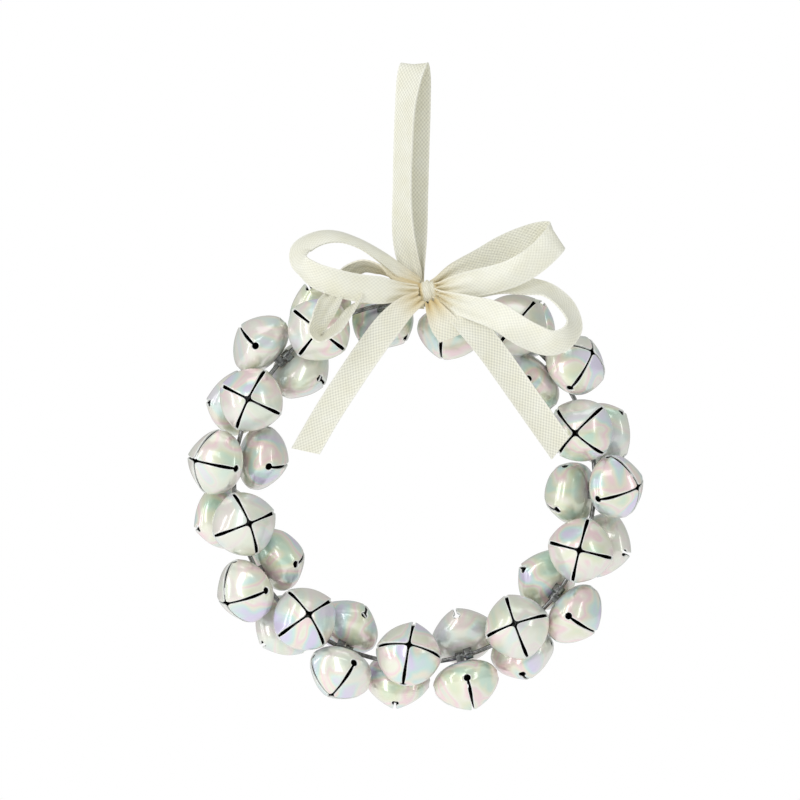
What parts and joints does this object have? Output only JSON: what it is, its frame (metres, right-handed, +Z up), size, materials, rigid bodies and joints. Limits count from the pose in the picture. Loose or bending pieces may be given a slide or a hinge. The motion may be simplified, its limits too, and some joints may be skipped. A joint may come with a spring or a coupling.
{
  "type": "christmas bell ornament",
  "caption": "Hanging wreath of pearly jingle bells strung on a wire ring, with a satin ribbon bow and hanging loop.",
  "frame": {"origin": "crest of the hanging ribbon loop, where a hook or nail holds it", "axes": "+Z up, +X to the right as seen from the front, front faces -Y"},
  "size_m": [0.1034, 0.0314, 0.1469],
  "materials": {
    "bells": "pearl gloss",
    "wire": "satin",
    "ribbon": "satin weave"
  },
  "bodies": {
    "hanger": {"hanging_loop": "ribbon"},
    "wreath": {"ring_wire": "wire", "ring_crimp": "wire", "ribbon_wrap": "ribbon", "bow_knot": "ribbon", "bow_loop_left_upper": "ribbon", "bow_loop_left_lower": "ribbon", "bow_loop_right_upper": "ribbon", "bow_loop_right_lower": "ribbon", "bow_tail_left": "ribbon", "bow_tail_right": "ribbon", "bow_tail_short": "ribbon"},
    "bell_01": {"bell_01": "bells"},
    "bell_02": {"bell_02": "bells"},
    "bell_03": {"bell_03": "bells"},
    "bell_04": {"bell_04": "bells"},
    "bell_05": {"bell_05": "bells"},
    "bell_06": {"bell_06": "bells"},
    "bell_07": {"bell_07": "bells"},
    "bell_08": {"bell_08": "bells"},
    "bell_09": {"bell_09": "bells"},
    "bell_10": {"bell_10": "bells"},
    "bell_11": {"bell_11": "bells"},
    "bell_12": {"bell_12": "bells"},
    "bell_13": {"bell_13": "bells"},
    "bell_14": {"bell_14": "bells"},
    "bell_15": {"bell_15": "bells"},
    "bell_16": {"bell_16": "bells"},
    "bell_17": {"bell_17": "bells"},
    "bell_18": {"bell_18": "bells"},
    "bell_19": {"bell_19": "bells"},
    "bell_20": {"bell_20": "bells"},
    "bell_21": {"bell_21": "bells"},
    "bell_22": {"bell_22": "bells"},
    "bell_23": {"bell_23": "bells"},
    "bell_24": {"bell_24": "bells"},
    "bell_25": {"bell_25": "bells"},
    "bell_26": {"bell_26": "bells"},
    "bell_27": {"bell_27": "bells"},
    "bell_28": {"bell_28": "bells"},
    "bell_29": {"bell_29": "bells"},
    "bell_30": {"bell_30": "bells"},
    "bell_31": {"bell_31": "bells"},
    "bell_32": {"bell_32": "bells"},
    "bell_33": {"bell_33": "bells"},
    "bell_34": {"bell_34": "bells"},
    "bell_35": {"bell_35": "bells"},
    "bell_36": {"bell_36": "bells"}
  },
  "joints": [
    {"name": "wreath_sway", "type": "hinge", "parent": "hanger", "child": "wreath", "pos_m": [0.0009, 0, -0.051], "axis": [0, 1, 0], "range_deg": [-12, 12]},
    {"name": "bell_01_swing", "type": "hinge", "parent": "wreath", "child": "bell_01", "pos_m": [0.0391, 0, -0.08267], "axis": [-0.3007, 0, 0.9537], "range_deg": [-3, 3]},
    {"name": "bell_02_swing", "type": "hinge", "parent": "wreath", "child": "bell_02", "pos_m": [0.03969, 0, -0.08473], "axis": [-0.2504, 0, 0.9681], "range_deg": [-3, 3]},
    {"name": "bell_03_swing", "type": "hinge", "parent": "wreath", "child": "bell_03", "pos_m": [0.03296, 0, -0.07061], "axis": [-0.5948, 0, 0.8039], "range_deg": [-3, 3]},
    {"name": "bell_04_swing", "type": "hinge", "parent": "wreath", "child": "bell_04", "pos_m": [0.03118, 0, -0.06837], "axis": [-0.6494, 0, 0.7604], "range_deg": [-3, 3]},
    {"name": "bell_05_swing", "type": "hinge", "parent": "wreath", "child": "bell_05", "pos_m": [0.02203, 0, -0.06042], "axis": [-0.8434, 0, 0.5373], "range_deg": [-3, 3]},
    {"name": "bell_06_swing", "type": "hinge", "parent": "wreath", "child": "bell_06", "pos_m": [0.02381, 0, -0.06162], "axis": [-0.8141, 0, 0.5807], "range_deg": [-3, 3]},
    {"name": "bell_07_swing", "type": "hinge", "parent": "wreath", "child": "bell_07", "pos_m": [0.00922, 0, -0.05505], "axis": [-0.9744, 0, 0.225], "range_deg": [-3, 3]},
    {"name": "bell_08_swing", "type": "hinge", "parent": "wreath", "child": "bell_08", "pos_m": [-0.00782, 0, -0.05475], "axis": [-0.9816, 0, -0.1908], "range_deg": [-3, 3]},
    {"name": "bell_09_swing", "type": "hinge", "parent": "wreath", "child": "bell_09", "pos_m": [-0.02173, 0, -0.06023], "axis": [-0.848, 0, -0.5299], "range_deg": [-3, 3]},
    {"name": "bell_10_swing", "type": "hinge", "parent": "wreath", "child": "bell_10", "pos_m": [-0.01956, 0, -0.05897], "axis": [-0.8788, 0, -0.4772], "range_deg": [-3, 3]},
    {"name": "bell_11_swing", "type": "hinge", "parent": "wreath", "child": "bell_11", "pos_m": [-0.03047, 0, -0.06757], "axis": [-0.6691, 0, -0.7431], "range_deg": [-3, 3]},
    {"name": "bell_12_swing", "type": "hinge", "parent": "wreath", "child": "bell_12", "pos_m": [-0.02899, 0, -0.06601], "axis": [-0.7071, 0, -0.7071], "range_deg": [-3, 3]},
    {"name": "bell_13_swing", "type": "hinge", "parent": "wreath", "child": "bell_13", "pos_m": [-0.03653, 0, -0.07639], "axis": [-0.454, 0, -0.891], "range_deg": [-3, 3]},
    {"name": "bell_14_swing", "type": "hinge", "parent": "wreath", "child": "bell_14", "pos_m": [-0.03746, 0, -0.07832], "axis": [-0.4067, 0, -0.9135], "range_deg": [-3, 3]},
    {"name": "bell_15_swing", "type": "hinge", "parent": "wreath", "child": "bell_15", "pos_m": [-0.04077, 0, -0.09071], "axis": [-0.1045, 0, -0.9945], "range_deg": [-3, 3]},
    {"name": "bell_16_swing", "type": "hinge", "parent": "wreath", "child": "bell_16", "pos_m": [-0.0405, 0, -0.08859], "axis": [-0.1564, 0, -0.9877], "range_deg": [-3, 3]},
    {"name": "bell_17_swing", "type": "hinge", "parent": "wreath", "child": "bell_17", "pos_m": [-0.03987, 0, -0.10457], "axis": [0.2334, 0, -0.9724], "range_deg": [-3, 3]},
    {"name": "bell_18_swing", "type": "hinge", "parent": "wreath", "child": "bell_18", "pos_m": [-0.04031, 0, -0.10247], "axis": [0.1822, 0, -0.9833], "range_deg": [-3, 3]},
    {"name": "bell_19_swing", "type": "hinge", "parent": "wreath", "child": "bell_19", "pos_m": [-0.03458, 0, -0.11703], "axis": [0.5373, 0, -0.8434], "range_deg": [-3, 3]},
    {"name": "bell_20_swing", "type": "hinge", "parent": "wreath", "child": "bell_20", "pos_m": [-0.03569, 0, -0.11519], "axis": [0.4924, 0, -0.8704], "range_deg": [-3, 3]},
    {"name": "bell_21_swing", "type": "hinge", "parent": "wreath", "child": "bell_21", "pos_m": [-0.0258, 0, -0.12686], "axis": [0.7771, 0, -0.6293], "range_deg": [-3, 3]},
    {"name": "bell_22_swing", "type": "hinge", "parent": "wreath", "child": "bell_22", "pos_m": [-0.02743, 0, -0.12547], "axis": [0.7431, 0, -0.6691], "range_deg": [-3, 3]},
    {"name": "bell_23_swing", "type": "hinge", "parent": "wreath", "child": "bell_23", "pos_m": [-0.01503, 0, -0.13315], "axis": [0.9304, 0, -0.3665], "range_deg": [-3, 3]},
    {"name": "bell_24_swing", "type": "hinge", "parent": "wreath", "child": "bell_24", "pos_m": [-0.017, 0, -0.13231], "axis": [0.91, 0, -0.4147], "range_deg": [-3, 3]},
    {"name": "bell_25_swing", "type": "hinge", "parent": "wreath", "child": "bell_25", "pos_m": [-0.00143, 0, -0.13598], "axis": [0.9994, 0, -0.0349], "range_deg": [-3, 3]},
    {"name": "bell_26_swing", "type": "hinge", "parent": "wreath", "child": "bell_26", "pos_m": [-0.00357, 0, -0.13584], "axis": [0.9962, 0, -0.0872], "range_deg": [-3, 3]},
    {"name": "bell_27_swing", "type": "hinge", "parent": "wreath", "child": "bell_27", "pos_m": [0.01027, 0, -0.13469], "axis": [0.9681, 0, 0.2504], "range_deg": [-3, 3]},
    {"name": "bell_28_swing", "type": "hinge", "parent": "wreath", "child": "bell_28", "pos_m": [0.01233, 0, -0.1341], "axis": [0.9537, 0, 0.3007], "range_deg": [-3, 3]},
    {"name": "bell_29_swing", "type": "hinge", "parent": "wreath", "child": "bell_29", "pos_m": [0.02381, 0, -0.12838], "axis": [0.8141, 0, 0.5807], "range_deg": [-3, 3]},
    {"name": "bell_30_swing", "type": "hinge", "parent": "wreath", "child": "bell_30", "pos_m": [0.02203, 0, -0.12958], "axis": [0.8434, 0, 0.5373], "range_deg": [-3, 3]},
    {"name": "bell_31_swing", "type": "hinge", "parent": "wreath", "child": "bell_31", "pos_m": [0.03164, 0, -0.12108], "axis": [0.6361, 0, 0.7716], "range_deg": [-3, 3]},
    {"name": "bell_32_swing", "type": "hinge", "parent": "wreath", "child": "bell_32", "pos_m": [0.03296, 0, -0.11939], "axis": [0.5948, 0, 0.8039], "range_deg": [-3, 3]},
    {"name": "bell_33_swing", "type": "hinge", "parent": "wreath", "child": "bell_33", "pos_m": [0.03802, 0, -0.11036], "axis": [0.3746, 0, 0.9272], "range_deg": [-3, 3]},
    {"name": "bell_34_swing", "type": "hinge", "parent": "wreath", "child": "bell_34", "pos_m": [0.03888, 0, -0.10801], "axis": [0.3173, 0, 0.9483], "range_deg": [-3, 3]},
    {"name": "bell_35_swing", "type": "hinge", "parent": "wreath", "child": "bell_35", "pos_m": [0.04099, 0, -0.09572], "axis": [0.0175, 0, 0.9998], "range_deg": [-3, 3]},
    {"name": "bell_36_swing", "type": "hinge", "parent": "wreath", "child": "bell_36", "pos_m": [0.0409, 0, -0.09786], "axis": [0.0698, 0, 0.9976], "range_deg": [-3, 3]}
  ]
}
